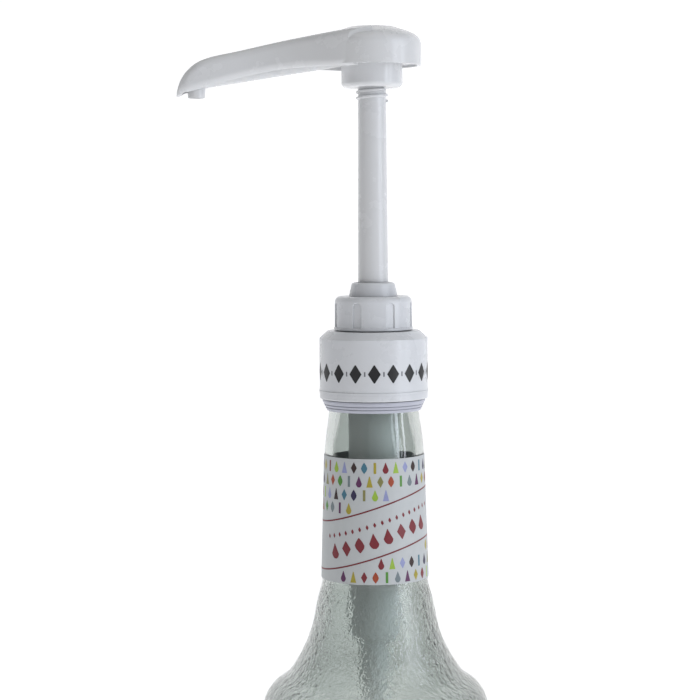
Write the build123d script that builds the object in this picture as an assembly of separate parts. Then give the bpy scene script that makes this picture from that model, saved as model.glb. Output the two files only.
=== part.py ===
from build123d import *

import os
from math import cos, hypot, radians, sin

# Condiment pump dispenser: a glass bottle with a long-stroke pump screwed on through an adaptor collar.
# Millimetres, +Z up, origin on the bottle's axis in the plane that it stands on.
# The spout points along -X and the front is towards -Y.

# ---- Bottle ----
bottle_height = 269.0
body_radius = 40.0
glass_wall = 2.8
punt_depth = 4.5
bearing_ring_width = 4.0
base_corner = 6.0
heel_fullness = 2.0
body_top = 138.55
shoulder_rise = 46.45
roll_radius = 13.0
roll_angle = 45.0
neck_foot_radius = 18.75
neck_top_radius = 17.4
neck_cone_height = 45.5
throat_radius = 15.8
throat_length = 5.0
finish_height = 20.0
finish_edge = 0.5
finish_root_radius = 14.7
finish_crest_radius = 15.75
finish_bore_radius = 11.9
finish_pitch = 3.5
finish_turns = 1.4
finish_thread_drop = 3.0
finish_ridge_width = 1.7
bead_rise = 1.2
bead_height = 2.2
label_height = 43.4
label_thickness = 0.2
label_margin = 1.0

# ---- Retaining ring, liner and adaptor collar ----
ring_height = 3.8
ring_lip = 0.5
ring_top_radius = 18.0
ring_foot_radius = 16.4
ring_groove = 0.3
ring_groove_shares = [0.3, 0.62]
ring_gap = 0.3
liner_thickness = 1.1
liner_margin = 0.2
collar_radius = 18.9
collar_skirt = 23.6
collar_top_wall = 2.3
collar_chamfer_width = 2.85
collar_chamfer_height = 2.5
collar_edge_round = 0.4
collar_bead = 0.2
collar_bead_rise = 2.3
collar_bead_height = 0.7
grip_turns = 1.2
grip_ridge_width = 1.5
neck_radius = 10.9
neck_crest_radius = 11.75
neck_height = 8.0
neck_bore_radius = 9.3
neck_pitch = 3.2
neck_turns = 1.3
neck_thread_drop = 1.6
neck_ridge_width = 1.5

# ---- Pump closure, cylinder and guide nut ----
closure_radius = 13.5
closure_height = 11.7
closure_top_wall = 1.5
closure_bevel = 1.9
closure_draft = 0.1
closure_foot_flange = 0.25
closure_flange_height = 0.8
closure_ridge_width = 1.4
closure_gap = 0.4
flute_count = 7
flute_width = 2.8
flute_height = 8.5
flute_depth = 0.55
flute_rise = 1.0
flange_thickness = 1.4
flange_radius = 11.1
gasket_thickness = 1.0
cylinder_bore_radius = 7.4
cylinder_wall = 1.5
cylinder_rim_wall = 0.9
cylinder_length = 120.0
cylinder_floor = 2.6
cylinder_chamfer = 0.8
tailpiece_radius = 5.4
tailpiece_length = 13.5
tailpiece_shoulder = 2.0
tube_stop_depth = 1.0
nut_height = 4.7
nut_foot_radius = 8.5
nut_top_radius = 7.45
nut_rim_round = 1.2
nut_plug_length = 7.0
nut_mouth_depth = 4.0
nut_mouth_step = 0.6
nut_ridge_width = 1.1
wiper_height = 2.0
wiper_rise = 1.2
wiper_groove = 1.2

# ---- Valves, piston, spring and dip tube ----
inlet_ball_radius = 4.0
inlet_port_radius = 2.6
inlet_lift = 2.0
inlet_ball_sink = 1.0
cage_wall = 1.6
cage_bar_width = 1.4
cage_clearance = 0.8
seat_slope = 0.75
outlet_ball_radius = 3.0
outlet_port_radius = 2.0
outlet_lift = 1.4
outlet_ball_sink = 1.2
outlet_chamber_clearance = 0.9
piston_length = 18.0
piston_radius = 7.0
piston_socket_depth = 7.0
piston_nose_length = 2.5
piston_nose_wall = 2.2
piston_nose_flare = 0.6
seal_height = 2.4
seal_depth = 1.3
seal_lip = 0.5
seal_waist = 0.2
seal_first = 2.2
seal_spacing = 5.2
spring_wire = 1.0
spring_turns = 16
spring_side_clearance = 0.6
dip_tube_radius = 4.2
dip_tube_wall = 1.1
dip_tube_floor_gap = 3.0
dip_tube_cut_angle = 35.0

# ---- Stem and spout head ----
stroke = 60.0
stem_exposed = 67.4
stem_guide_radius = 5.25
stem_top_radius = 4.85
stem_bore_radius = 2.3
stem_slot_width = 1.4
stem_slot_height = 5.0
lock_crest_radius = 5.6
lock_pitch = 2.0
lock_length = 5.4
lock_margin = 0.8
lock_runout = 1.0
lock_ridge_width = 1.2
hub_radius = 10.6
hub_height = 7.5
hub_foot_round = 1.6
boss_wall = 2.0
hub_socket_depth = 10.5
puck_radius = 17.1
puck_height = 13.3
puck_crown = 1.6
puck_edge_round = 5.2
spout_reach = 67.7
arm_root_half_width = 10.4
arm_mid_half_width = 5.6
arm_tip_half_width = 4.8
arm_edge_round = 2.6
cover_wall = 1.4
hollow_overrun = 20.0
plate_thickness = 1.5
plate_recess = 0.7
duct_radius = 2.6
duct_bore_radius = 1.7
hood_drop = 2.7
nozzle_setback = 6.9
nozzle_rise = 2.3
nozzle_drop = 3.3
elbow_inset = 0.6
nozzle_root_radius = 3.3
nozzle_tip_radius = 2.9
nozzle_bore_radius = 2.0
nozzle_bore_length = 6.0

# ---- Clearances ----
thread_clearance = 0.35
running_clearance = 0.25
seal_clearance = 0.2
seat_clearance = 0.1
press_clearance = 0.05
bite = 0.35

# ---- Heights that follow from the sizes above ----
neck_foot = body_top + shoulder_rise
neck_cone_top = neck_foot + neck_cone_height
finish_foot = bottle_height - finish_height
finish_thread_foot = bottle_height - finish_thread_drop - finish_pitch * finish_turns
label_foot = neck_foot + label_margin
liner_foot = bottle_height + seat_clearance / 2
collar_underside = liner_foot + liner_thickness + seat_clearance / 2
collar_top = collar_underside + collar_top_wall
collar_foot = collar_top - collar_skirt
neck_top = collar_top + neck_height
neck_thread_foot = neck_top - neck_thread_drop - neck_pitch * neck_turns
gasket_foot = neck_top + seat_clearance / 2
flange_foot = gasket_foot + gasket_thickness
flange_top = flange_foot + flange_thickness
closure_foot = collar_top + closure_gap
closure_underside = flange_top + seat_clearance / 2
closure_top = closure_underside + closure_top_wall
nut_foot = closure_top + seat_clearance / 2
nut_top = nut_foot + nut_height
plug_foot = nut_foot - nut_plug_length
wiper_foot = plug_foot + wiper_rise
cylinder_foot = nut_foot - cylinder_length
cylinder_radius = cylinder_bore_radius + cylinder_wall
inlet_seat = cylinder_foot + cylinder_floor
tube_shoulder = cylinder_foot - tailpiece_shoulder
dip_tube_top = tube_shoulder - tube_stop_depth
dip_tube_foot = punt_depth + glass_wall + dip_tube_floor_gap
cage_top = inlet_seat + 2 * inlet_ball_radius + inlet_lift + cage_wall - inlet_ball_sink
piston_top = plug_foot - seat_clearance
piston_foot = piston_top - piston_length
stem_foot = piston_top - piston_socket_depth + seat_clearance
outlet_chamber_foot = stem_foot - seat_clearance - 2 * outlet_ball_radius - outlet_lift + outlet_ball_sink
hub_foot = nut_top + stem_exposed
head_foot = hub_foot + hub_height
head_top = head_foot + puck_height
stem_top = hub_foot + hub_socket_depth
nozzle_x = nozzle_setback - spout_reach
nozzle_foot = hub_foot - nozzle_drop
nozzle_top = hub_foot + nozzle_rise


def turned(outline):
    """Turn a closed outline of (radius, height) edges about the Z axis."""
    return revolve(Plane.XZ * make_face(outline), Axis.Z, 360)


def ring(inner, outer, foot, top):
    """A plain ring, tube or (inner = 0) disc."""
    return turned(Polyline((inner, foot), (outer, foot), (outer, top), (inner, top), close=True))


def thread(root, crest, pitch, turns, foot, width, phase=0):
    """A trapezoid ridge wound on a wall of radius root, biting into it; crest < root is an inner thread."""
    path = Helix(pitch=pitch, height=pitch * turns, radius=root)
    height = crest - root
    inwards = -bite if height > 0 else bite
    tip = 0.45 * width
    foot_width = tip + (width - tip) * (1 + bite / abs(height))
    corners = [(inwards, -foot_width / 2), (height, -tip / 2), (height, tip / 2), (inwards, foot_width / 2)]
    start = Plane(origin=path @ 0, x_dir=(1, 0, 0), z_dir=path % 0)
    ridge = sweep(start * make_face(Polyline(*corners, close=True)), path=path, is_frenet=True)
    return Rot(0, 0, phase) * Pos(0, 0, foot) * ridge


def inset_outline(points, depth):
    """Move each point of an open (radius, height) outline inwards, square to the line of its neighbours."""
    moved = []
    for i, (r, z) in enumerate(points):
        r0, z0 = points[max(i - 1, 0)]
        r1, z1 = points[min(i + 1, len(points) - 1)]
        run = hypot(r1 - r0, z1 - z0)
        moved.append((r - depth * (z1 - z0) / run, z + depth * (r1 - r0) / run))
    return moved


# ---- Bottle group ----
def shoulder_sweep():
    """Points of the hollow sweep between the shoulder's roll and the neck's foot."""
    foot_r = body_radius - roll_radius * (1 - cos(radians(roll_angle)))
    foot_z = body_top + roll_radius * sin(radians(roll_angle))
    spread = [1.0, 0.678, 0.279, 0.087, 0.0]
    rise = [0.0, 0.12, 0.458, 0.828, 1.0]
    width = foot_r - neck_foot_radius
    height = neck_foot - foot_z
    return [(neck_foot_radius + width * s, foot_z + height * t) for s, t in zip(spread, rise)]


def bottle_solid():
    outer = shoulder_sweep()
    inner = inset_outline(outer, glass_wall)
    slant = (-sin(radians(roll_angle)), cos(radians(roll_angle)))
    inner[0] = (outer[0][0] - glass_wall * slant[1], outer[0][1] + glass_wall * slant[0])
    inner[-1] = (neck_foot_radius - glass_wall, neck_foot)
    corner_foot = (body_radius - base_corner, 0)
    ring_inner = (body_radius - base_corner - bearing_ring_width, 0)
    throat_foot = finish_foot - throat_length
    skin = Line(ring_inner, corner_foot)
    skin += RadiusArc(corner_foot, (body_radius, base_corner), -base_corner)
    skin += Line((body_radius, base_corner), (body_radius, body_top))
    skin += RadiusArc((body_radius, body_top), outer[0], -roll_radius)
    skin += Spline(*outer, tangents=[slant, (-0.03, 1)])
    skin += Line(outer[-1], (neck_top_radius, neck_cone_top))
    skin += Spline(
        (neck_top_radius, neck_cone_top),
        (throat_radius, throat_foot),
        tangents=[(-0.03, 1), (-0.1, 1)],
    )
    skin += Polyline(
        (throat_radius, throat_foot),
        (throat_radius, finish_foot),
        (finish_root_radius, finish_foot),
        (finish_root_radius, bottle_height - finish_edge),
        (finish_root_radius - finish_edge, bottle_height),
        (finish_bore_radius + finish_edge, bottle_height),
        (finish_bore_radius, bottle_height - finish_edge),
        (finish_bore_radius, throat_foot),
    )
    skin += Spline(
        (finish_bore_radius, throat_foot),
        (neck_top_radius - glass_wall, neck_cone_top),
        tangents=[(0.1, -1), (0.03, -1)],
    )
    skin += Line((neck_top_radius - glass_wall, neck_cone_top), inner[-1])
    skin += Spline(*inner[::-1], tangents=[(0.03, -1), (-slant[0], -slant[1])])
    skin += RadiusArc(inner[0], (body_radius - glass_wall, body_top), roll_radius - glass_wall)
    floor_corner = base_corner - glass_wall + heel_fullness
    floor = punt_depth + glass_wall
    skin += Line((body_radius - glass_wall, body_top), (body_radius - glass_wall, glass_wall + floor_corner))
    skin += RadiusArc(
        (body_radius - glass_wall, glass_wall + floor_corner),
        (body_radius - glass_wall - floor_corner, glass_wall),
        floor_corner,
    )
    floor_edge = (body_radius - glass_wall - floor_corner, glass_wall)
    skin += Spline(floor_edge, (0, floor), tangents=[(-1, 0), (-1, 0)])
    skin += Line((0, floor), (0, punt_depth))
    skin += Spline((0, punt_depth), ring_inner, tangents=[(1, 0), (1, -0.45)])
    bead_foot = finish_foot + bead_rise
    bead = ring(finish_root_radius - bite, finish_crest_radius, bead_foot, bead_foot + bead_height)
    bead = fillet(bead.edges().filter_by(GeomType.CIRCLE).group_by(SortBy.RADIUS)[-1], 0.45 * bead_height)
    ridge = thread(
        finish_root_radius,
        finish_crest_radius,
        finish_pitch,
        finish_turns,
        finish_thread_foot,
        finish_ridge_width,
    )
    return turned(skin) + bead + ridge


def neck_label_solid():
    slope = (neck_top_radius - neck_foot_radius) / neck_cone_height
    foot_radius = neck_foot_radius + slope * label_margin
    top_radius = foot_radius + slope * label_height
    top = label_foot + label_height
    return turned(
        Polyline(
            (foot_radius, label_foot),
            (foot_radius + label_thickness, label_foot),
            (top_radius + label_thickness, top),
            (top_radius, top),
            close=True,
        )
    )


def retaining_ring_solid():
    """The ring under the collar: a short upright lip, then a taper with two fine grooves."""
    top = collar_foot - ring_gap
    foot = top - ring_height
    taper_height = ring_height - ring_lip
    body = turned(
        Polyline(
            (throat_radius, foot),
            (ring_foot_radius, foot),
            (ring_top_radius, foot + taper_height),
            (ring_top_radius, top),
            (throat_radius, top),
            close=True,
        )
    )
    for share in ring_groove_shares:
        height = foot + share * taper_height
        radius = ring_foot_radius + (ring_top_radius - ring_foot_radius) * share
        body -= ring(radius - ring_groove, ring_top_radius + 1, height, height + ring_groove)
    return body


def bottle_liner_solid():
    inner = finish_bore_radius + liner_margin
    outer = finish_crest_radius - liner_margin
    return ring(inner, outer, liner_foot, liner_foot + liner_thickness)


# ---- Adaptor collar ----
def adaptor_collar_solid():
    inner = finish_crest_radius + thread_clearance
    chamfer_top = collar_radius - collar_chamfer_width
    body = turned(
        Polyline(
            (inner, collar_foot),
            (collar_radius, collar_foot),
            (collar_radius, collar_top - collar_chamfer_height),
            (chamfer_top, collar_top),
            (neck_radius, collar_top),
            (neck_radius, neck_top),
            (neck_bore_radius, neck_top),
            (neck_bore_radius, collar_underside),
            (inner, collar_underside),
            close=True,
        )
    )
    rims = body.edges().filter_by(GeomType.CIRCLE)
    body = fillet(rims.filter_by(lambda e: abs(e.radius - collar_radius) < 0.01), collar_edge_round)
    bead_foot = collar_foot + collar_bead_rise
    bead_top = bead_foot + collar_bead_height
    bead = ring(collar_radius - bite, collar_radius + collar_bead, bead_foot, bead_top)
    crest = finish_root_radius + thread_clearance
    grip = thread(inner, crest, finish_pitch, grip_turns, finish_thread_foot, grip_ridge_width, phase=180)
    outer_ridge = thread(
        neck_radius, neck_crest_radius, neck_pitch, neck_turns, neck_thread_foot, neck_ridge_width
    )
    return body + bead + grip + outer_ridge


# ---- Closure, cylinder and guide nut ----
def flute(angle):
    """An upright recess with a round top, cut into the closure's side."""
    straight = flute_height - flute_width / 2
    cutter = Pos(0, 0, straight / 2) * Box(2 * flute_depth, flute_width, straight)
    arch = Pos(0, 0, straight) * Rot(0, 90, 0) * Cylinder(flute_width / 2, 2 * flute_depth)
    return Rot(0, 0, angle) * Pos(closure_radius, 0, closure_foot + flute_rise) * (cutter + arch)


def is_flute_lip(edge):
    """The edges where the flutes' walls meet the closure's side."""
    middle = edge @ 0.5
    out = hypot(middle.X, middle.Y)
    upright = -0.05 < middle.Z - closure_foot - flute_rise < flute_height + 0.2
    round_edge = edge.geom_type == GeomType.CIRCLE and edge.radius > closure_radius - 1
    return upright and out > closure_radius - 0.35 * flute_depth and not round_edge


def closure_cap_solid():
    inner = neck_crest_radius + thread_clearance
    hole = cylinder_bore_radius + cylinder_rim_wall + thread_clearance
    body = turned(
        Polyline(
            (inner, closure_foot),
            (closure_radius + closure_foot_flange, closure_foot),
            (closure_radius + closure_foot_flange, closure_foot + closure_flange_height),
            (closure_radius, closure_foot + closure_flange_height + closure_draft),
            (closure_radius - closure_draft, closure_top),
            (hole, closure_top),
            (hole, closure_underside),
            (inner, closure_underside),
            close=True,
        )
    )
    circles = body.edges().filter_by(GeomType.CIRCLE)
    rim = circles.filter_by(lambda e: abs(e.radius - closure_radius + closure_draft) < 0.01)
    body = fillet(rim, closure_bevel)
    for i in range(flute_count):
        body -= flute(-90 + (i + 0.5) * 360 / flute_count)
    lips = body.edges().filter_by(is_flute_lip)
    body = fillet(lips, 0.5 * flute_depth)
    crest = neck_radius + thread_clearance
    return body + thread(
        inner, crest, neck_pitch, grip_turns, neck_thread_foot, closure_ridge_width, phase=180
    )


def flange_gasket_solid():
    return ring(cylinder_radius + running_clearance, flange_radius, gasket_foot, flange_foot)


def pump_cylinder_solid():
    rim = cylinder_bore_radius + cylinder_rim_wall
    tail_foot = tube_shoulder - tailpiece_length
    port_foot = inlet_seat - inlet_ball_radius * seat_slope
    return turned(
        Polyline(
            (dip_tube_radius, tail_foot),
            (tailpiece_radius, tail_foot),
            (tailpiece_radius, tube_shoulder),
            (cylinder_radius - cylinder_chamfer, cylinder_foot),
            (cylinder_radius, cylinder_foot + cylinder_chamfer),
            (cylinder_radius, flange_foot),
            (flange_radius, flange_foot),
            (flange_radius, flange_top),
            (rim, flange_top),
            (rim, nut_foot),
            (cylinder_bore_radius, nut_foot),
            (cylinder_bore_radius, inlet_seat),
            (inlet_ball_radius, inlet_seat),
            (inlet_port_radius, port_foot),
            (inlet_port_radius, dip_tube_top),
            (dip_tube_radius, dip_tube_top),
            close=True,
        )
    )


def guide_nut_solid():
    """The nut that snaps into the cylinder's mouth and guides the stem; its mouth takes the lock thread."""
    bore = stem_guide_radius + running_clearance
    mouth = bore + nut_mouth_step
    groove = bore + wiper_groove
    plug = cylinder_bore_radius - press_clearance
    body = turned(
        Polyline(
            (bore, plug_foot),
            (plug, plug_foot),
            (plug, nut_foot),
            (nut_foot_radius, nut_foot),
            (nut_top_radius, nut_top),
            (mouth, nut_top),
            (mouth, nut_top - nut_mouth_depth),
            (bore, nut_top - nut_mouth_depth - nut_mouth_step),
            (bore, wiper_foot + wiper_height),
            (groove, wiper_foot + wiper_height),
            (groove, wiper_foot),
            (bore, wiper_foot),
            close=True,
        )
    )
    circles = body.edges().filter_by(GeomType.CIRCLE)
    rim = circles.filter_by(lambda e: abs(e.radius - nut_top_radius) < 0.01)
    body = fillet(rim, min(nut_rim_round, 0.8 * (nut_top_radius - mouth)))
    turns = (nut_mouth_depth - 2 * lock_margin) / lock_pitch
    ridge_foot = nut_top - nut_mouth_depth + lock_margin
    return body + thread(mouth, bore, lock_pitch, turns, ridge_foot, nut_ridge_width)


def stem_wiper_solid():
    bore = stem_guide_radius + running_clearance
    return ring(bore - press_clearance, bore + wiper_groove, wiper_foot, wiper_foot + wiper_height)


def ball_cage_solid():
    """The cage over the inlet ball: its cross bar stops the ball and lets the sauce pass beside it."""
    inner = inlet_ball_radius + cage_clearance
    outer = cylinder_bore_radius - press_clearance
    body = ring(inner, outer, inlet_seat, cage_top)
    bar = Pos(0, 0, cage_top - cage_wall / 2) * Box(2 * inner + 1, cage_bar_width, cage_wall)
    return body + bar + Rot(0, 0, 90) * bar


def inlet_ball_solid():
    rest = inlet_seat + ball_rise(inlet_ball_radius, inlet_port_radius)
    return Pos(0, 0, rest) * Sphere(inlet_ball_radius)


def ball_rise(ball, port):
    """How far a resting ball's centre stands above the cone that narrows from its radius to the port."""
    depth = seat_slope * ball
    slant = hypot(ball - port, depth)
    return (ball * slant - ball * depth) / (ball - port) + seat_clearance


def dip_tube_solid():
    """The tube down to the bottle's floor, cut slantwise so that its foot can't seal on the glass."""
    tube = ring(dip_tube_radius - dip_tube_wall, dip_tube_radius, dip_tube_foot, dip_tube_top)
    reach = 8 * dip_tube_radius
    wedge = Rot(0, dip_tube_cut_angle, 0) * Pos(0, 0, -reach / 2) * Box(2 * reach, 2 * reach, reach)
    return tube - Pos(0, 0, dip_tube_foot + 0.7 * dip_tube_radius) * wedge


# ---- Plunger ----
def return_spring_solid():
    radius = cylinder_bore_radius - spring_side_clearance - spring_wire / 2
    height = piston_foot - cage_top - spring_wire
    path = Helix(pitch=height / spring_turns, height=height, radius=radius)
    start = Plane(origin=path @ 0, z_dir=path % 0)
    coil = sweep(start * Circle(spring_wire / 2), path=path, is_frenet=True)
    return Pos(0, 0, cage_top + spring_wire / 2) * coil


def seal_foot(level):
    """The height of a seal groove's foot: level 0 is the lower seal and level 1 the upper one."""
    return piston_foot + seal_first + level * seal_spacing


def piston_solid():
    socket = stem_guide_radius + seal_clearance
    chamber = outlet_ball_radius + outlet_chamber_clearance
    cone_foot = outlet_chamber_foot - seat_slope * outlet_ball_radius
    nose = outlet_port_radius + piston_nose_wall
    body = turned(
        Polyline(
            (outlet_port_radius, piston_foot - piston_nose_length),
            (nose, piston_foot - piston_nose_length),
            (nose + piston_nose_flare, piston_foot),
            (piston_radius, piston_foot),
            (piston_radius, piston_top),
            (socket, piston_top),
            (socket, piston_top - piston_socket_depth),
            (chamber, piston_top - piston_socket_depth),
            (chamber, outlet_chamber_foot),
            (outlet_ball_radius, outlet_chamber_foot),
            (outlet_port_radius, cone_foot),
            close=True,
        )
    )
    for level in (0, 1):
        foot = seal_foot(level)
        body -= ring(piston_radius - seal_depth, piston_radius + 1, foot, foot + seal_height)
    return body


def piston_seal_solid(level):
    foot = seal_foot(level)
    outer = cylinder_bore_radius - seal_clearance
    inner = piston_radius - seal_depth
    return turned(
        Polyline(
            (inner, foot),
            (piston_radius, foot),
            (outer, foot + seal_lip),
            (piston_radius - seal_waist, foot + seal_height / 2),
            (outer, foot + seal_height - seal_lip),
            (piston_radius, foot + seal_height),
            (inner, foot + seal_height),
            close=True,
        )
    )


def outlet_ball_solid():
    rest = outlet_chamber_foot + ball_rise(outlet_ball_radius, outlet_port_radius)
    return Pos(0, 0, rest) * Sphere(outlet_ball_radius)


# ---- Stem and head ----
def stem_solid():
    lock_foot = hub_foot - lock_length
    tube = turned(
        Polyline(
            (stem_bore_radius, stem_foot),
            (stem_guide_radius, stem_foot),
            (stem_guide_radius, nut_top),
            (stem_top_radius, lock_foot - lock_runout),
            (stem_top_radius, stem_top),
            (stem_bore_radius, stem_top),
            close=True,
        )
    )
    slot = Pos(0, 0, stem_foot) * Box(4 * stem_guide_radius, stem_slot_width, stem_slot_height)
    tube -= slot + Rot(0, 0, 90) * slot
    turns = (lock_length - 2 * lock_margin) / lock_pitch
    ridge_foot = lock_foot + lock_margin
    return tube + thread(stem_top_radius, lock_crest_radius, lock_pitch, turns, ridge_foot, lock_ridge_width)


def arm_side(inset):
    """Side view of the arm from the axis to its hooded tip; inset draws the hollow inside the cover."""
    along = [0.0, 0.26, 0.49, 0.725, 0.87]
    fall = [0.9, 2.75, 5.3, 8.65, 11.15]
    top = [(-spout_reach * a, head_top - f - inset) for a, f in zip(along, fall)]
    tip_foot = (inset - spout_reach, hub_foot - hood_drop - hollow_overrun * inset)
    under = [(-0.84, 0.2), (-0.65, 3.5), (-0.46, 5.8), (-0.25, 6.4)]
    under = [(spout_reach * x, hub_foot + z) for x, z in under]
    root = (0, head_foot - 1.2)
    outline = Spline(*top, tangents=[(-1, -0.05), (-1, -0.42)])
    outline += Spline(top[-1], tip_foot, tangents=[(-1, -0.42), (-0.08, -1)], tangent_scalars=[0.9, 1.2])
    if inset > 0:
        outline += Polyline(tip_foot, (0, tip_foot[1]), top[0])
    else:
        outline += Line(tip_foot, under[0])
        outline += Spline(*under, root, tangents=[(1, 0.28), (1, 0.02)])
        outline += Line(root, top[0])
    return extrude(Plane.XZ * make_face(outline), 2 * puck_radius, both=True)


def arm_plan(inset):
    """Plan of the arm: it narrows from the puck in a hollow sweep and ends in a half round."""
    side = [
        (-0.12 * spout_reach, puck_radius - 2.2),
        (-0.26 * spout_reach, arm_root_half_width),
        (-0.45 * spout_reach, arm_mid_half_width),
        (arm_tip_half_width - spout_reach, arm_tip_half_width),
    ]
    side = [(x, y - inset) for x, y in side]
    far = [(x, -y) for x, y in side]
    outline = Spline(*side, tangents=[(-1, -0.35), (-1, 0)])
    outline += ThreePointArc(side[-1], (inset - spout_reach, 0), far[-1])
    outline += Spline(*far[::-1], tangents=[(1, 0), (1, -0.35)])
    outline += Polyline(far[0], (0, far[0][1]), (0, side[0][1]), side[0])
    depth = hub_height + puck_height
    return Pos(0, 0, hub_foot - 2 * depth) * extrude(make_face(outline), 4 * depth)


def puck(inset):
    """The round push button: a shallow crown, a well rounded top edge and an upright side."""
    radius = puck_radius - inset
    top = head_top - inset
    foot = head_foot - hollow_overrun * inset
    side_top = (radius, top - puck_crown - puck_edge_round)
    shoulder = (radius - 0.32 * puck_edge_round, top - puck_crown - 0.28 * puck_edge_round)
    brow = (0.55 * radius, top - 0.35 * puck_crown)
    outline = Polyline((0, foot), (radius, foot), side_top)
    outline += Spline(side_top, shoulder, brow, (0, top), tangents=[(0, 1), (-1, 0)])
    outline += Line((0, top), (0, foot))
    return turned(outline)


def head_form(inset):
    """The whole outer form of the head, or of its hollow when inset is the cover's wall."""
    return puck(inset) + (arm_side(inset) & arm_plan(inset))


def spout_cover_solid():
    arm = arm_side(0) & arm_plan(0)
    upper = arm.edges().filter_by(lambda e: is_crest_edge(e))
    arm = fillet(upper, arm_edge_round)
    return puck(0) + arm - head_form(cover_wall)


def is_crest_edge(edge):
    """The long edges between the arm's top and its sides, tip included."""
    middle = edge @ 0.5
    beyond = middle.X < -0.13 * spout_reach
    height = middle.Z - hub_foot
    return beyond and height > 6.0 + 0.05 * middle.X and abs(middle.Y) > 0.5


def floor_slab():
    """A slab that follows the underside of the arm and the puck, set a little up into the cover."""
    end = (nozzle_x - nozzle_root_radius) / spout_reach
    along = [(end, 0.3), (-0.84, 1.0), (-0.65, 3.9), (-0.46, 6.1), (-0.25, 7.2)]
    under = [(spout_reach * x, hub_foot + z + plate_recess) for x, z in along]
    level = head_foot + plate_recess
    lower = Spline(*under, (-0.12 * spout_reach, level), tangents=[(1, 0.1), (1, 0.02)])
    lower += Line((-0.12 * spout_reach, level), (puck_radius + 1, level))
    upper = Pos(0, plate_thickness) * lower
    outline = lower + upper
    outline += Line(lower @ 0, upper @ 0)
    outline += Line(lower @ 1, upper @ 1)
    return extrude(Plane.XZ * make_face(outline), 2 * puck_radius, both=True)


def spout_base_solid():
    duct_start = Vector(0, 0, stem_top + 1.0)
    duct_end = Vector(nozzle_x, 0, nozzle_top)
    run = duct_end - duct_start
    duct_plane = Plane(origin=duct_start, z_dir=run)
    plate = head_form(cover_wall) & floor_slab()
    hub = ring(0, hub_radius, hub_foot, head_foot + plate_recess + 0.2)
    boss = ring(0, stem_top_radius + boss_wall, hub_foot, stem_top + boss_wall + 1.0)
    duct = duct_plane * extrude(Circle(duct_radius), run.length)
    elbow = Pos(*duct_end) * Sphere(nozzle_root_radius - elbow_inset)
    nozzle = Pos(nozzle_x, 0, (nozzle_top + nozzle_foot) / 2) * Cone(
        nozzle_tip_radius, nozzle_root_radius, nozzle_top - nozzle_foot
    )
    body = plate + fillet(hub.edges().group_by(Axis.Z)[0], hub_foot_round) + boss + duct + elbow + nozzle
    socket = ring(0, stem_top_radius, hub_foot - 1, stem_top)
    well = ring(0, stem_bore_radius, stem_top - 1, stem_top + 1.6)
    channel = duct_plane * extrude(Circle(duct_bore_radius), run.length)
    corner = Pos(*duct_end) * Sphere(duct_bore_radius)
    outlet = Pos(nozzle_x, 0, nozzle_foot - 1) * Cylinder(
        nozzle_bore_radius, nozzle_bore_length + 1, align=(Align.CENTER, Align.CENTER, Align.MIN)
    )
    rise = Pos(nozzle_x, 0, nozzle_foot) * Cylinder(
        duct_bore_radius, nozzle_top - nozzle_foot, align=(Align.CENTER, Align.CENTER, Align.MIN)
    )
    return body - socket - well - channel - corner - outlet - rise


def solids():
    return {
        "bottle": bottle_solid(),
        "neck_label": neck_label_solid(),
        "retaining_ring": retaining_ring_solid(),
        "bottle_liner": bottle_liner_solid(),
        "adaptor_collar": adaptor_collar_solid(),
        "closure_cap": closure_cap_solid(),
        "flange_gasket": flange_gasket_solid(),
        "pump_cylinder": pump_cylinder_solid(),
        "guide_nut": guide_nut_solid(),
        "stem_wiper": stem_wiper_solid(),
        "ball_cage": ball_cage_solid(),
        "inlet_ball": inlet_ball_solid(),
        "dip_tube": dip_tube_solid(),
        "return_spring": return_spring_solid(),
        "piston": piston_solid(),
        "piston_seal_lower": piston_seal_solid(0),
        "piston_seal_upper": piston_seal_solid(1),
        "outlet_ball": outlet_ball_solid(),
        "stem": stem_solid(),
        "spout_base": spout_base_solid(),
        "spout_cover": spout_cover_solid(),
    }


os.makedirs("parts", exist_ok=True)
for name, solid in solids().items():
    export_step(solid, f"parts/{name}.step")
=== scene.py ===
import math

import bpy
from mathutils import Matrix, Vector


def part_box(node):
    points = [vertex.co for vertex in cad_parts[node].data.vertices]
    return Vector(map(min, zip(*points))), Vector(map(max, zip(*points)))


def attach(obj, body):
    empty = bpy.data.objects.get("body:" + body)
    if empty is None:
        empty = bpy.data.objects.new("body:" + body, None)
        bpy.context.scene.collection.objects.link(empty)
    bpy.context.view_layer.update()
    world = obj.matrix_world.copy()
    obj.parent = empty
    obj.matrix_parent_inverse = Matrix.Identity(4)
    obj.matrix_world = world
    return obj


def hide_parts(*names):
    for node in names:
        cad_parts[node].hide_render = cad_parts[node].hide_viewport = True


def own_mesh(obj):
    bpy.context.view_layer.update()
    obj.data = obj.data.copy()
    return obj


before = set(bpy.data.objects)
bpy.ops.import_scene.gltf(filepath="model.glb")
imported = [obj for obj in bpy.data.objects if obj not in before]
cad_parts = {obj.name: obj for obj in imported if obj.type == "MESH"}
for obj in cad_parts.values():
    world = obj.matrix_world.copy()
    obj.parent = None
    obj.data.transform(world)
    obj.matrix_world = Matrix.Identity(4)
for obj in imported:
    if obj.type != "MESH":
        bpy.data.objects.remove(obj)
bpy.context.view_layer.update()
mm = 0.001
bpy.context.scene.view_settings.view_transform = "Standard"
bpy.context.scene.view_settings.look = "None"


# ---- small helpers ----
def hexColour(code, alpha=1.0):
    channels = [int(code[i:i + 2], 16) / 255 for i in (1, 3, 5)]
    return tuple(c / 12.92 if c <= 0.04045 else ((c + 0.055) / 1.055) ** 2.4 for c in channels) + (alpha,)


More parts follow.
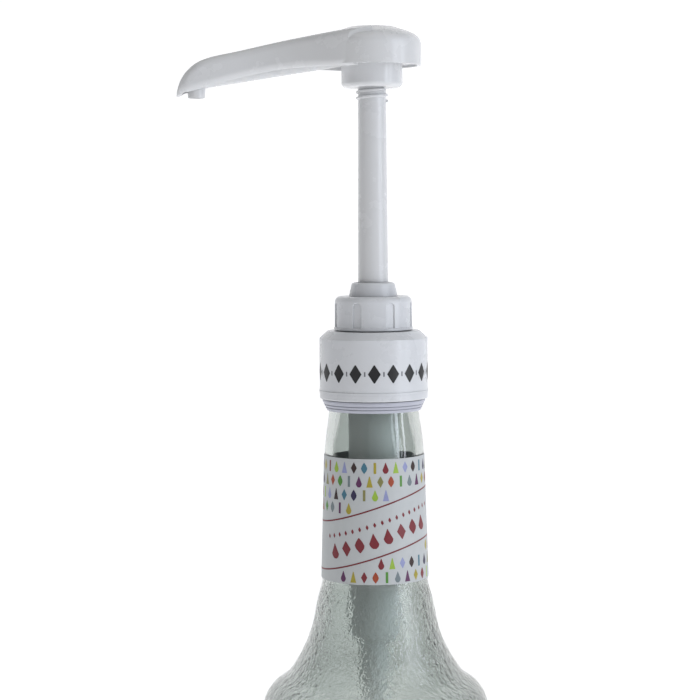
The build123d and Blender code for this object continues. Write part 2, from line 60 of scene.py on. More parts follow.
def addNode(tree, kind, settings=None, inputs=None, links=None):
    # settings are the node's own, inputs are socket values, links are (socket, where it comes from)
    node = tree.nodes.new("ShaderNode" + kind)
    for name, value in (settings or {}).items():
        setattr(node, name, value)
    for name, value in (inputs or {}).items():
        node.inputs[name].default_value = value
    for name, source in (links or {}).items():
        tree.links.new(source, node.inputs[name])
    return node


def newMaterial(name, inputs):
    material = bpy.data.materials.new(name)
    material.use_nodes = True
    tree = material.node_tree
    shader = tree.nodes["Principled BSDF"]
    for socket, value in inputs.items():
        shader.inputs[socket].default_value = value
    return material, tree, shader


def selectOnly(obj):
    if bpy.context.object and bpy.context.object.mode != "OBJECT":
        bpy.ops.object.mode_set(mode="OBJECT")
    bpy.ops.object.select_all(action="DESELECT")
    obj.select_set(True)
    bpy.context.view_layer.objects.active = obj


def dress(obj, material):
    obj.data.materials.clear()
    obj.data.materials.append(material)


def applyModifier(obj, kind, settings):
    selectOnly(obj)
    modifier = obj.modifiers.new(kind.lower(), kind)
    for name, value in settings.items():
        setattr(modifier, name, value)
    bpy.ops.object.modifier_apply(modifier=modifier.name)


def smoothByAngle(obj, degrees=35):
    selectOnly(obj)
    bpy.ops.object.shade_smooth_by_angle(angle=math.radians(degrees))


def settle(obj):
    # the object's place goes into its mesh
    selectOnly(obj)
    bpy.ops.object.transform_apply(location=True, rotation=True, scale=True)


print("stage: camera and studio")
# ---- camera and studio ----
view = {
    "distance": 0.700,
    "height": 0.3130,
    "side": -0.0079,
    "pitch": 3.87,
    "roll": 0.40,
    "lens": 103.3,
}
cameraData = bpy.data.cameras.new("camera")
cameraData.lens = view["lens"]
cameraData.clip_start = 0.01
cameraData.clip_end = 100
camera = bpy.data.objects.new("camera", cameraData)
camera.location = (view["side"], -view["distance"], view["height"])
camera.rotation_euler = (math.radians(90 - view["pitch"]), math.radians(view["roll"]), 0)
bpy.context.scene.collection.objects.link(camera)
bpy.context.scene.camera = camera

studio = {
    "floorSize": 6.0,
    "backdropAt": 1.6,
    "backdropHeight": 3.0,
    "floorColour": "#F6F6F7",
    "floorGlow": 0.60,
    "worldColour": "#C9CBCF",
    "worldStrength": 0.30,
}
world = bpy.data.worlds.new("studio")
bpy.context.scene.world = world
world.use_nodes = True
world.node_tree.nodes["Background"].inputs["Color"].default_value = hexColour(studio["worldColour"])
world.node_tree.nodes["Background"].inputs["Strength"].default_value = studio["worldStrength"]

bpy.ops.object.select_all(action="DESELECT")
bpy.ops.mesh.primitive_plane_add(size=studio["floorSize"], location=(0, studio["backdropAt"] - studio["floorSize"] / 2, 0))
floor = bpy.context.object
floor.name = "floor"
bpy.ops.object.mode_set(mode="EDIT")
bpy.ops.mesh.select_all(action="DESELECT")
bpy.ops.object.mode_set(mode="OBJECT")
for edge in floor.data.edges:
    ends = [floor.data.vertices[i].co.y for i in edge.vertices]
    edge.select = min(ends) > 0.4 * studio["floorSize"]
bpy.ops.object.mode_set(mode="EDIT")
bpy.ops.mesh.select_mode(type="EDGE")
bpy.ops.mesh.extrude_region_move(TRANSFORM_OT_translate={"value": (0, 0, studio["backdropHeight"])})
bpy.ops.object.mode_set(mode="OBJECT")
applyModifier(floor, "BEVEL", {"width": 1.0, "segments": 16, "limit_method": "ANGLE"})
smoothByAngle(floor, 60)
floorMaterial, tree, shader = newMaterial(
    "paintedBackdrop",
    {
        "Base Color": hexColour(studio["floorColour"]),
        "Roughness": 0.85,
        "Emission Color": (1, 1, 1, 1),
        "Emission Strength": studio["floorGlow"],
    },
)
dress(floor, floorMaterial)


def softLight(name, size, place, target, watts, colour):
    data = bpy.data.lights.new(name, "AREA")
    data.shape = "RECTANGLE"
    data.size, data.size_y = size
    data.energy = watts
    data.color = hexColour(colour)[:3]
    light = bpy.data.objects.new(name, data)
    light.location = place
    light.rotation_euler = (Vector(target) - Vector(place)).to_track_quat("-Z", "Y").to_euler()
    bpy.context.scene.collection.objects.link(light)


middle = (0, 0, 0.27)
softLight("windowNear", (0.10, 0.70), (0.62, -0.42, 0.42), middle, 1.5, "#EAF0FA")
softLight("windowFar", (0.07, 0.70), (0.70, -0.20, 0.42), middle, 1.1, "#EAF0FA")
softLight("ceiling", (1.2, 1.2), (0.1, -0.3, 1.25), middle, 4.2, "#FFFDF8")
softLight("fill", (0.9, 0.9), (-0.9, -0.9, 0.55), middle, 0.6, "#EDEDEF")


print("stage: materials")
# ---- materials ----
def whitePlastic(name, colour, roughness):
    # injection moulded polypropylene: a soft milky sheen, with faint flow marks and a fine satin grain
    material, tree, shader = newMaterial(
        name,
        {"Roughness": roughness, "IOR": 1.49, "Subsurface Weight": 0.06, "Subsurface Scale": 0.002,
         "Subsurface Radius": (1.0, 0.9, 0.85)},
    )
    place = addNode(tree, "TexCoord").outputs["Object"]
    # flow marks 25 mm apart, stretched up and down
    stretch = addNode(tree, "Mapping", inputs={"Scale": (40.0, 40.0, 14.0)}, links={"Vector": place})
    flow = addNode(tree, "TexNoise", inputs={"Scale": 1.0, "Detail": 3.0}, links={"Vector": stretch.outputs[0]})
    tone = addNode(tree, "ValToRGB", links={"Fac": flow.outputs["Fac"]})
    base = hexColour(colour)
    tone.color_ramp.elements[0].position = 0.3
    tone.color_ramp.elements[1].position = 0.7
    tone.color_ramp.elements[0].color = tuple(c * 0.975 for c in base[:3]) + (1,)
    tone.color_ramp.elements[1].color = base
    # painted shade: the colour is darkened in corners and crevices, wherever ambient occlusion finds them
    corner = addNode(tree, "AmbientOcclusion", {"samples": 4}, {"Distance": 0.004})
    paintedCornerShade = addNode(tree, "MapRange", inputs={"From Min": 0.35, "From Max": 0.9, "To Min": 0.86, "To Max": 1.0},
                    links={"Value": corner.outputs["AO"]})
    mixed = addNode(tree, "MixRGB", {"blend_type": "MULTIPLY"}, {"Fac": 1.0},
                    {"Color1": tone.outputs[0], "Color2": paintedCornerShade.outputs[0]})
    tree.links.new(mixed.outputs[0], shader.inputs["Base Color"])
    # handling polishes some patches and scuffs others, about 12 mm across
    scuff = addNode(tree, "TexNoise", inputs={"Scale": 85.0, "Detail": 5.0, "Roughness": 0.6}, links={"Vector": place})
    gloss = addNode(tree, "MapRange", inputs={"From Min": 0.3, "From Max": 0.7, "To Min": roughness - 0.06,
                                              "To Max": roughness + 0.08}, links={"Value": scuff.outputs["Fac"]})
    tree.links.new(gloss.outputs[0], shader.inputs["Roughness"])
    # a satin grain of about 0.5 mm, coarser than the real spark finish so that it shows
    grain = addNode(tree, "TexNoise", inputs={"Scale": 2000.0, "Detail": 2.0}, links={"Vector": place})
    ripple = addNode(tree, "TexNoise", inputs={"Scale": 160.0, "Detail": 1.0}, links={"Vector": place})
    fine = addNode(tree, "Bump", inputs={"Strength": 0.10, "Distance": 0.00005}, links={"Height": grain.outputs["Fac"]})
    broad = addNode(tree, "Bump", inputs={"Strength": 0.07, "Distance": 0.0002},
                    links={"Height": ripple.outputs["Fac"], "Normal": fine.outputs[0]})
    tree.links.new(broad.outputs[0], shader.inputs["Normal"])
    return material


def naturalPlastic():
    # unpigmented polypropylene: cloudy, lets some light through
    material, tree, shader = newMaterial(
        "naturalPolypropylene",
        {"Base Color": hexColour("#DADDE2"), "Roughness": 0.38, "IOR": 1.49, "Subsurface Weight": 0.25,
         "Subsurface Scale": 0.003, "Subsurface Radius": (1.0, 0.95, 0.9)},
    )
    place = addNode(tree, "TexCoord").outputs["Object"]
    cloud = addNode(tree, "TexNoise", inputs={"Scale": 60.0, "Detail": 3.0}, links={"Vector": place})
    tone = addNode(tree, "ValToRGB", links={"Fac": cloud.outputs["Fac"]})
    tone.color_ramp.elements[0].color = hexColour("#E6E8EA")
    tone.color_ramp.elements[1].color = hexColour("#F4F5F6")
    tree.links.new(tone.outputs[0], shader.inputs["Base Color"])
    return material


def softRubber():
    # thermoplastic elastomer: matt, slightly dusty
    material, tree, shader = newMaterial("greyElastomer", {"Base Color": hexColour("#8E9196"), "Roughness": 0.7})
    place = addNode(tree, "TexCoord").outputs["Object"]
    dust = addNode(tree, "TexNoise", inputs={"Scale": 900.0, "Detail": 3.0}, links={"Vector": place})
    bump = addNode(tree, "Bump", inputs={"Strength": 0.2, "Distance": 0.0001}, links={"Height": dust.outputs["Fac"]})
    tree.links.new(bump.outputs[0], shader.inputs["Normal"])
    return material


def stainless():
    # drawn stainless wire and ground balls: bright grey with fine draw marks
    material, tree, shader = newMaterial(
        "stainlessSteel", {"Base Color": hexColour("#B9BABB"), "Metallic": 1.0, "Roughness": 0.28})
    place = addNode(tree, "TexCoord").outputs["Object"]
    marks = addNode(tree, "TexNoise", inputs={"Scale": 1400.0, "Detail": 2.0}, links={"Vector": place})
    gloss = addNode(tree, "MapRange", inputs={"To Min": 0.2, "To Max": 0.4}, links={"Value": marks.outputs["Fac"]})
    tree.links.new(gloss.outputs[0], shader.inputs["Roughness"])
    return material


def linerFoam():
    # closed cell foam: matt white with fine pores
    material, tree, shader = newMaterial("linerFoam", {"Base Color": hexColour("#E4E3DE"), "Roughness": 0.8})
    place = addNode(tree, "TexCoord").outputs["Object"]
    pores = addNode(tree, "TexVoronoi", inputs={"Scale": 2500.0}, links={"Vector": place})
    bump = addNode(tree, "Bump", inputs={"Strength": 0.3, "Distance": 0.0001}, links={"Height": pores.outputs["Distance"]})
    tree.links.new(bump.outputs[0], shader.inputs["Normal"])
    return material


def sodaGlass():
    # moulded soda-lime glass: faintly green grey, glossy, with a pebble of about 1.5 mm below the neck
    material, tree, shader = newMaterial(
        "sodaLimeGlass",
        {"Base Color": hexColour("#CBD0CD"), "Roughness": 0.02, "IOR": 1.52, "Transmission Weight": 1.0},
    )
    place = addNode(tree, "TexCoord").outputs["Object"]
    pebble = addNode(tree, "TexNoise", inputs={"Scale": 760.0, "Detail": 2.0}, links={"Vector": place})
    height = addNode(tree, "SeparateXYZ", links={"Vector": place})
    below = addNode(tree, "MapRange", inputs={"From Min": 0.192, "From Max": 0.182, "To Min": 0.03, "To Max": 0.8},
                    links={"Value": height.outputs["Z"]})
    bump = addNode(tree, "Bump", inputs={"Distance": 0.0004},
                   links={"Height": pebble.outputs["Fac"], "Strength": below.outputs[0]})
    tree.links.new(bump.outputs[0], shader.inputs["Normal"])
    # light reaches the pump inside through the wall
    passing = addNode(tree, "BsdfTransparent", inputs={"Color": hexColour("#D5DAD7")})
    ray = addNode(tree, "LightPath")
    mixed = addNode(tree, "MixShader")
    tree.links.new(ray.outputs["Is Shadow Ray"], mixed.inputs[0])
    tree.links.new(shader.outputs[0], mixed.inputs[1])
    tree.links.new(passing.outputs[0], mixed.inputs[2])
    tree.links.new(mixed.outputs[0], tree.nodes["Material Output"].inputs["Surface"])
    return material


def labelPaper():
    # coated paper: matt white with fibre mottling and faint creases
    material, tree, shader = newMaterial("coatedPaper", {"Base Color": hexColour("#DEDDE2"), "Roughness": 0.5})
    place = addNode(tree, "TexCoord").outputs["Object"]
    fibre = addNode(tree, "TexNoise", inputs={"Scale": 400.0, "Detail": 6.0}, links={"Vector": place})
    tone = addNode(tree, "ValToRGB", links={"Fac": fibre.outputs["Fac"]})
    tone.color_ramp.elements[0].color = hexColour("#B4B8BA")
    tone.color_ramp.elements[1].color = hexColour("#BEC1C3")
    tree.links.new(tone.outputs[0], shader.inputs["Base Color"])
    bump = addNode(tree, "Bump", inputs={"Strength": 0.15, "Distance": 0.0001}, links={"Height": fibre.outputs["Fac"]})
    tree.links.new(bump.outputs[0], shader.inputs["Normal"])
    return material


def printInk(name, colour):
    # offset ink: flat colour with a slight mottle from the paper
    material, tree, shader = newMaterial(name, {"Roughness": 0.42})
    place = addNode(tree, "TexCoord").outputs["Object"]
    mottle = addNode(tree, "TexNoise", inputs={"Scale": 700.0, "Detail": 4.0}, links={"Vector": place})
    tone = addNode(tree, "ValToRGB", links={"Fac": mottle.outputs["Fac"]})
    base = hexColour(colour)
    tone.color_ramp.elements[0].color = tuple(c * 0.8 for c in base[:3]) + (1,)
    tone.color_ramp.elements[1].color = tuple(min(1, c * 1.12 + 0.004) for c in base[:3]) + (1,)
    tree.links.new(tone.outputs[0], shader.inputs["Base Color"])
    return material


coverWhite = whitePlastic("mouldedPolypropylene", "#D3D4D6", 0.24)
collarWhite = whitePlastic("collarPolypropylene", "#D0D2D6", 0.28)
# the ring's own lavender plastic, made darker than the other white parts as painted shade for its downward-facing
# underside
shadedRingLavender = whitePlastic("shadedRingPolyethylene", "#B2B4C0", 0.36)
cloudyPlastic = naturalPlastic()
rubber = softRubber()
steel = stainless()
glass = sodaGlass()
paper = labelPaper()

finishes = {
    "spout_cover": coverWhite,
    "spout_base": coverWhite,
    "stem": coverWhite,
    "guide_nut": collarWhite,
    "closure_cap": collarWhite,
    "adaptor_collar": collarWhite,
    "retaining_ring": shadedRingLavender,
    "bottle_liner": linerFoam(),
    "flange_gasket": rubber,
    "stem_wiper": rubber,
    "piston_seal_lower": rubber,
    "piston_seal_upper": rubber,
    "pump_cylinder": cloudyPlastic,
    "ball_cage": cloudyPlastic,
    "dip_tube": cloudyPlastic,
    "piston": cloudyPlastic,
    "inlet_ball": steel,
    "outlet_ball": steel,
    "return_spring": steel,
}
for node, material in finishes.items():
    dress(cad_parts[node], material)


print("stage: bottle")
# ---- the glass bottle ----
lowest, highest = [Vector(c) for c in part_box("bottle")]
bottle = {
    "wall": 2.8 * mm,
    "radius": highest.x - 0.03 * mm,
    "top": highest.z,
    "bodyTop": 138.55 * mm,
    "rollRadius": 13.0 * mm,
    "rollAngle": 45.0,
    "neckFoot": (18.75 * mm, 185.0 * mm),
    "neckTop": (17.4 * mm, 230.5 * mm),
    "throat": (15.8 * mm, 244.0 * mm),
    "finishRadius": 14.7 * mm,
    "finishFoot": 249.0 * mm,
    "boreRadius": 11.9 * mm,
    "beadRadius": 15.75 * mm,
    "baseCorner": 6.0 * mm,
    "punt": 4.5 * mm,
    "steps": 256,
    "rowSpacing": 1.0 * mm,
    "dent": 0.20 * mm,
    "pebble": 1.8 * mm,
}


def arcPoints(centre, radius, fromDegrees, toDegrees, count):
    sweep = [math.radians(fromDegrees + (toDegrees - fromDegrees) * i / count) for i in range(count + 1)]
    return [(centre[0] + radius * math.cos(a), centre[1] + radius * math.sin(a)) for a in sweep]


def throughPoints(keys, startSlope, endSlope, spacing):
    # a smooth curve through the key points, in short steps
    slopes = [startSlope]
    slopes += [((keys[i + 1][0] - keys[i - 1][0]) / 2, (keys[i + 1][1] - keys[i - 1][1]) / 2)
               for i in range(1, len(keys) - 1)]
    slopes.append(endSlope)
    points = []
    for i in range(len(keys) - 1):
        (r0, z0), (r1, z1) = keys[i], keys[i + 1]
        length = math.hypot(r1 - r0, z1 - z0)
        m0, m1 = [tuple(s * length / math.hypot(*m) for s in m) for m in (slopes[i], slopes[i + 1])]
        count = max(2, round(length / spacing))
        for k in range(count):
            t = k / count
            h = (2 * t**3 - 3 * t**2 + 1, t**3 - 2 * t**2 + t, -2 * t**3 + 3 * t**2, t**3 - t**2)
            points.append(tuple(h[0] * a + h[1] * b + h[2] * c + h[3] * d
                                for a, b, c, d in zip((r0, z0), m0, (r1, z1), m1)))
    return points + [keys[-1]]


def straight(start, end, spacing):
    count = max(1, round(math.hypot(end[0] - start[0], end[1] - start[1]) / spacing))
    return [tuple(a + (b - a) * i / count for a, b in zip(start, end)) for i in range(count + 1)]


def turnOutline(name, outline, steps, closed=True):
    # one vertex is drawn out along the outline, and the line is spun round the Z axis
    bpy.ops.object.select_all(action="DESELECT")
    bpy.ops.mesh.primitive_plane_add(size=0.001, location=(0, 0, 0))
    obj = bpy.context.object
    obj.name = name
    bpy.ops.object.mode_set(mode="EDIT")
    bpy.ops.mesh.select_mode(type="VERT")
    bpy.ops.mesh.select_all(action="SELECT")
    bpy.ops.mesh.merge(type="CENTER")
    bpy.ops.transform.translate(value=(outline[0][0], 0, outline[0][1]))
    for before, after in zip(outline, outline[1:] + ([outline[0]] if closed else [])):
        bpy.ops.mesh.extrude_region_move(
            TRANSFORM_OT_translate={"value": (after[0] - before[0], 0, after[1] - before[1])})
    bpy.ops.mesh.select_all(action="SELECT")
    bpy.ops.mesh.spin(steps=steps, angle=2 * math.pi, center=(0, 0, 0), axis=(0, 0, 1))
    bpy.ops.mesh.select_all(action="SELECT")
    bpy.ops.mesh.remove_doubles(threshold=0.00001)
    bpy.ops.mesh.normals_make_consistent(inside=False)
    bpy.ops.object.mode_set(mode="OBJECT")
    return obj


def bottleOutline(b):
    wall, radius, step = b["wall"], b["radius"], b["rowSpacing"]
    roll = (radius - b["rollRadius"], b["bodyTop"])
    corner = (radius - b["baseCorner"], b["baseCorner"])
    outside = throughPoints([(0, b["punt"]), (0.42 * radius, 0.66 * b["punt"]), (radius - 10 * mm, 0)],
                            (1, 0), (1, -0.45), 4 * mm)
    outside += arcPoints(corner, b["baseCorner"], -90, 0, 8)
    outside += straight((radius, b["baseCorner"]), (radius, b["bodyTop"]), step)[1:]
    outside += arcPoints(roll, b["rollRadius"], 0, b["rollAngle"], 10)[1:]
    rollEnd = outside[-1]
    width, height = rollEnd[0] - b["neckFoot"][0], b["neckFoot"][1] - rollEnd[1]
    keys = [(b["neckFoot"][0] + width * s, rollEnd[1] + height * t)
            for s, t in ((1, 0), (0.678, 0.12), (0.279, 0.458), (0.087, 0.828), (0, 1))]
    outside += throughPoints(keys, (-1, 1), (-0.03, 1), step)[1:]
    outside += straight(b["neckFoot"], b["neckTop"], 4 * mm)[1:]
    outside += throughPoints([b["neckTop"], b["throat"]], (-0.03, 1), (-0.1, 1), 1.2 * mm)[1:]
    lip = b["top"]
    outside += [
        (b["throat"][0], b["finishFoot"]), (b["finishRadius"], b["finishFoot"] + 0.05 * mm),
        (b["finishRadius"], b["finishFoot"] + 1.2 * mm), (b["beadRadius"], b["finishFoot"] + 1.6 * mm),
        (b["beadRadius"], b["finishFoot"] + 3.0 * mm), (b["finishRadius"], b["finishFoot"] + 3.4 * mm),
        (b["finishRadius"], lip - 0.5 * mm), (b["finishRadius"] - 0.5 * mm, lip),
        (b["boreRadius"] + 0.5 * mm, lip), (b["boreRadius"], lip - 0.5 * mm),
    ]
    inside = [(b["boreRadius"], b["throat"][1])]
    inside += throughPoints([inside[0], (b["neckTop"][0] - wall, b["neckTop"][1])], (0.1, -1), (0.03, -1), 2 * mm)[1:]
    inside += straight((b["neckTop"][0] - wall, b["neckTop"][1]), (b["neckFoot"][0] - wall, b["neckFoot"][1]), 6 * mm)[1:]
    innerKeys = [(b["neckFoot"][0] - wall, b["neckFoot"][1])]
    for i in (3, 2, 1):
        before, here, after = keys[i - 1], keys[i], keys[i + 1]
        run = math.hypot(after[0] - before[0], after[1] - before[1])
        innerKeys.append((here[0] - wall * (after[1] - before[1]) / run, here[1] + wall * (after[0] - before[0]) / run))
    slant = math.radians(b["rollAngle"])
    innerKeys.append((rollEnd[0] - wall * math.cos(slant), rollEnd[1] - wall * math.sin(slant)))
    inside += throughPoints(innerKeys, (0.03, -1), (1, -1), 3 * mm)[1:]
    inside += arcPoints(roll, b["rollRadius"] - wall, b["rollAngle"], 0, 6)[1:]
    floorRound = b["baseCorner"] - wall + 2 * mm
    inside += straight((radius - wall, b["bodyTop"]), (radius - wall, wall + floorRound), 10 * mm)[1:]
    inside += arcPoints((radius - wall - floorRound, wall + floorRound), floorRound, 0, -90, 6)[1:]
    inside += throughPoints([inside[-1], (0, b["punt"] + wall)], (-1, 0), (-1, 0), 5 * mm)[1:]
    return outside + inside


glassBody = turnOutline("glassBottle", bottleOutline(bottle), bottle["steps"])
hammered = glassBody.vertex_groups.new(name="hammered")
for vertex in glassBody.data.vertices:
    co = vertex.co
    r = math.hypot(co.x, co.y)
    if not 7 * mm < co.z < 190 * mm:
        continue
    outward = vertex.normal.x * co.x + vertex.normal.y * co.y + 0.35 * r * vertex.normal.z
    if outward > 0:
        fade = min(1, (190 * mm - co.z) / (10 * mm), (co.z - 7 * mm) / (6 * mm))
        hammered.add([vertex.index], fade, "REPLACE")
pebbles = bpy.data.textures.new("pebbles", "CLOUDS")
pebbles.noise_scale = bottle["pebble"]
pebbles.noise_depth = 1
pebbles.contrast = 1.6
applyModifier(glassBody, "DISPLACE", {
    "texture": pebbles, "texture_coords": "LOCAL", "mid_level": 1.0,
    "strength": bottle["dent"], "vertex_group": "hammered"})
smoothByAngle(glassBody, 50)
dress(glassBody, glass)
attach(glassBody, "bottle")
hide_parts("bottle")


print("stage: neck wrap")
# ---- the printed wrap ----
labelLow, labelHigh = [Vector(c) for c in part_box("neck_label")]
wrap = {
    "foot": labelLow.z,
    "top": labelHigh.z,
    "footRadius": bottle["neckFoot"][0],
    "slope": (bottle["neckTop"][0] - bottle["neckFoot"][0]) / (bottle["neckTop"][1] - bottle["neckFoot"][1]),
    "footHeight": bottle["neckFoot"][1],
    "paper": 0.19 * mm,
    "ink": 0.015 * mm,
    "inkLift": 0.175 * mm,
    "bandTop": (212.3 * mm, 6.05 * mm),
    "bandFoot": (195.3 * mm, 5.8 * mm),
    "lineWidth": 0.55 * mm,
    "lean": -0.11,
}


def neckRadius(z):
    return wrap["footRadius"] + wrap["slope"] * (z - wrap["footHeight"])


def wrapRound(obj, radiusAt, lift):
    # a flat piece in the XZ plane is rolled round the axis: x becomes the way round from the front
    for vertex in obj.data.vertices:
        x, y, z = vertex.co
        radius = radiusAt(z) + lift - y
        angle = x / radiusAt(z) - math.pi / 2
        vertex.co = (radius * math.cos(angle), radius * math.sin(angle), z)


def flatGrid(name, columns, rows, width, foot, height, centre=0.0):
    bpy.ops.object.select_all(action="DESELECT")
    bpy.ops.mesh.primitive_grid_add(x_subdivisions=columns, y_subdivisions=rows, size=1,
                                    location=(centre, 0, foot + height / 2), rotation=(math.pi / 2, 0, 0))
    obj = bpy.context.object
    obj.name = name
    obj.scale = (width, height, 1)
    settle(obj)
    return obj


meanRadius = neckRadius((wrap["foot"] + wrap["top"]) / 2)
sheetWidth = 2 * math.pi * meanRadius - 0.2 * mm
paperWrap = flatGrid("paperWrap", 160, 24, sheetWidth, wrap["foot"] + 0.1 * mm, wrap["top"] - wrap["foot"] - 0.2 * mm)
for vertex in paperWrap.data.vertices:
    vertex.co.x *= neckRadius(vertex.co.z) / meanRadius
wrapRound(paperWrap, neckRadius, 0.02 * mm)
applyModifier(paperWrap, "SOLIDIFY", {"thickness": wrap["paper"] - 0.04 * mm, "offset": 1.0})
smoothByAngle(paperWrap, 40)
dress(paperWrap, paper)
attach(paperWrap, "bottle")
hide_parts("neck_label")


# half widths from foot to top, both as shares
silhouettes = {
    "bar": ((0, 0.5), (1, 0.5)),
    "cone": ((0, 0.5), (1, 0.06)),
    "leaf": ((0, 0.04), (0.3, 0.42), (0.5, 0.5), (0.75, 0.32), (1, 0.04)),
    "drop": ((0, 0.16), (0.12, 0.38), (0.32, 0.5), (0.6, 0.3), (1, 0.03)),
    "lozenge": ((0, 0.04), (0.5, 0.5), (1, 0.04)),
}
inks = {
    "rust": "#9C3F1E", "crimson": "#771A26", "navy": "#1F1442", "plum": "#561C50", "cocoa": "#2C1313",
    "green": "#4F8A30", "lime": "#93B33A", "olive": "#7F7C48", "gold": "#A3962F", "teal": "#3C6F84",
    "slate": "#6E7A80", "lavender": "#8D93BE", "border": "#701820",
}
# plain shapes in even rows round the whole wrap, left out where the band runs
pattern = {
    "shapes": ("leaf", "bar", "drop", "cone", "lozenge"),
    "perRow": 30,
    "rowStep": 4.7 * mm,
    "edge": 0.7 * mm,
    "height": 3.8 * mm,
    "width": 2.2 * mm,
    "barWidth": 0.9 * mm,
    "bandGap": 0.5 * mm,
    "inkStride": 5,
}


def bandEdge(edge, angle):
    # the height of a border line of the band at an angle from the front
    return edge[0] + edge[1] * math.sin(angle)


def shareAt(profile, t):
    for (t0, w0), (t1, w1) in zip(profile, profile[1:]):
        if t <= t1:
            return w0 + (w1 - w0) * (t - t0) / (t1 - t0)
    return profile[-1][1]


def silhouette(shape, degrees, foot, height, width, radiusAt, lean=0.0):
    profile = silhouettes[shape]
    piece = flatGrid("print", 4, 12, width, foot, height)
    for vertex in piece.data.vertices:
        rise = vertex.co.z - foot
        vertex.co.x *= 2 * shareAt(profile, min(1.0, max(0.0, rise / height)))
        vertex.co.x += lean * (rise - height / 2) + math.radians(degrees) * radiusAt(vertex.co.z)
    return piece


def joinPieces(pieces, name):
    selectOnly(pieces[0])
    for piece in pieces[1:]:
        piece.select_set(True)
    if len(pieces) > 1:
        bpy.ops.object.join()
    joined = bpy.context.object
    joined.name = name
    return joined


def layInk(pieces, name, radiusAt, lift, colour, body):
    # flat shapes of one colour become one thin film
    film = joinPieces(pieces, name)
    wrapRound(film, radiusAt, lift)
    applyModifier(film, "SOLIDIFY", {"thickness": wrap["ink"], "offset": 1.0})
    dress(film, printInk(name, colour))
    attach(film, body)
    return film


films = {ink: [] for ink in inks}
rowInks = [ink for ink in inks if ink != "border"]
rowCount = int((wrap["top"] - wrap["foot"] - pattern["edge"]) / pattern["rowStep"])
for row in range(rowCount):
    foot = wrap["foot"] + pattern["edge"] + row * pattern["rowStep"]
    for i in range(pattern["perRow"]):
        # every other row is shifted by half a step
        degrees = (i + 0.5 * (row % 2)) * 360 / pattern["perRow"]
        angle = math.radians(degrees)
        under = foot + pattern["height"] < bandEdge(wrap["bandFoot"], angle) - pattern["bandGap"]
        over = foot > bandEdge(wrap["bandTop"], angle) + pattern["bandGap"]
        if not (under or over):
            continue
        shape = pattern["shapes"][(i + 2 * row) % len(pattern["shapes"])]
        ink = rowInks[(pattern["inkStride"] * i + row) % len(rowInks)]
        width = pattern["barWidth"] if shape == "bar" else pattern["width"]
        films[ink].append(silhouette(shape, degrees, foot, pattern["height"], width, neckRadius))

# the band's two borders
for edge in (wrap["bandTop"], wrap["bandFoot"]):
    border = flatGrid("border", 180, 1, sheetWidth, edge[0] - wrap["lineWidth"] / 2, wrap["lineWidth"])
    for vertex in border.data.vertices:
        vertex.co.z += bandEdge((0, edge[1]), vertex.co.x / meanRadius)
    films["border"].append(border)

# a garland inside the band: a row of fine leaves over a row of drops, lozenges and leaves
garland = {
    "fine": {"rise": 10.6 * mm, "height": 1.7 * mm, "width": 1.0 * mm, "step": 8.2, "span": 66},
    "bold": {"rise": 3.4 * mm, "height": 5.2 * mm, "width": 3.5 * mm, "step": 15.5, "span": 56},
    "order": ("drop", "lozenge", "leaf", "drop"),
}
for side in (0, 180):
    for row in ("fine", "bold"):
        motif = garland[row]
        count = int(2 * motif["span"] / motif["step"])
        for i in range(count + 1):
            near = -motif["span"] + 8 + i * motif["step"]
            if near > motif["span"] + 14:
                continue
            turned = near if side == 0 else 180 - near
            foot = bandEdge(wrap["bandFoot"], math.radians(near)) + motif["rise"]
            shape = "leaf" if row == "fine" else garland["order"][i % 4]
            films["crimson"].append(
                silhouette(shape, turned, foot, motif["height"], motif["width"], neckRadius, wrap["lean"]))

for ink, pieces in films.items():
    layInk(pieces, "ink" + ink.capitalize(), neckRadius, wrap["inkLift"], inks[ink], "bottle")

print("stage: collar ornament")
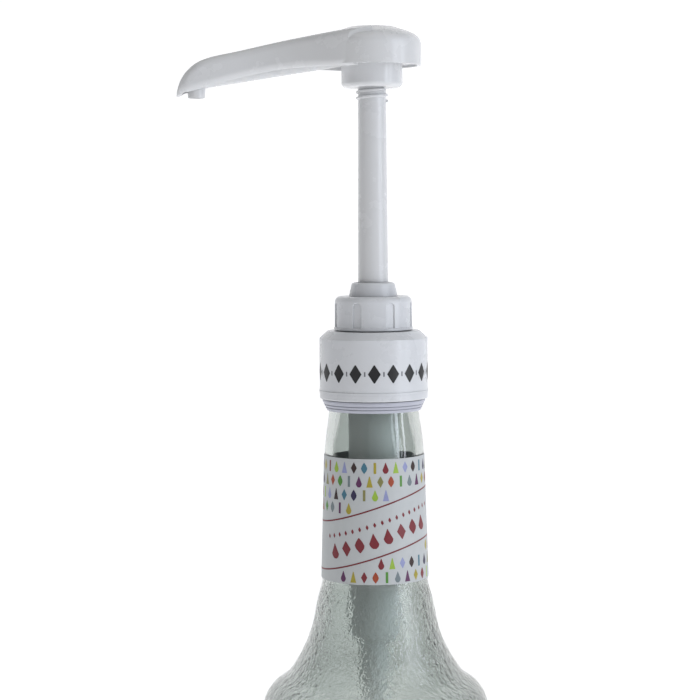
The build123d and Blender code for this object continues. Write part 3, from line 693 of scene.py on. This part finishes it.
# ---- an even frieze of lozenges and small bars printed on the collar ----
collar = {
    "radius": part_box("adaptor_collar")[1][0] - 0.2 * mm,
    "foot": 255.4 * mm,
    "height": 6.2 * mm,
    "width": 4.4 * mm,
    "count": 18,
    "barFoot": 257.7 * mm,
    "barHeight": 1.6 * mm,
    "barWidth": 0.5 * mm,
    "lift": 0.012 * mm,
}


def collarRadius(height):
    return collar["radius"]


motifs, bars = [], []
for i in range(collar["count"]):
    degrees = i * 360 / collar["count"]
    between = degrees + 180 / collar["count"]
    motifs.append(silhouette("lozenge", degrees, collar["foot"], collar["height"], collar["width"], collarRadius))
    bars.append(silhouette("bar", between, collar["barFoot"], collar["barHeight"], collar["barWidth"], collarRadius))
layInk(motifs, "inkBlack", collarRadius, collar["lift"], "#0E0E12", "collar")
layInk(bars, "inkGrey", collarRadius, collar["lift"], "#6C6E74", "collar")

print("stage: return spring")
# ---- the return spring, wound as a fixed coil ----
springLow, springHigh = [Vector(c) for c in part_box("return_spring")]
spring = {
    "wire": 0.5 * mm,
    "turns": 16,
    "stroke": 60.0 * mm,
    "foot": springLow.z,
    "height": springHigh.z - springLow.z,
    "outerRadius": springHigh.x,
}
bpy.ops.object.select_all(action="DESELECT")
bpy.ops.mesh.primitive_circle_add(
    vertices=12, radius=spring["wire"], location=(spring["outerRadius"] - spring["wire"], 0, spring["foot"] + spring["wire"]),
    rotation=(math.pi / 2, 0, 0))
coil = bpy.context.object
coil.name = "returnCoil"
settle(coil)
applyModifier(coil, "SCREW", {
    "angle": 2 * math.pi, "iterations": spring["turns"], "steps": 36, "render_steps": 36,
    "screw_offset": (spring["height"] - 2 * spring["wire"]) / spring["turns"]})
selectOnly(coil)
bpy.ops.object.mode_set(mode="EDIT")
bpy.ops.mesh.select_mode(type="EDGE")
bpy.ops.mesh.select_all(action="DESELECT")
bpy.ops.mesh.select_non_manifold()
bpy.ops.mesh.edge_face_add()
bpy.ops.mesh.select_all(action="SELECT")
bpy.ops.mesh.normals_make_consistent(inside=False)
bpy.ops.object.mode_set(mode="OBJECT")
smoothByAngle(coil, 40)
dress(coil, steel)
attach(coil, "pump_body")
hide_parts("return_spring")
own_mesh(coil)

print("stage: finish")
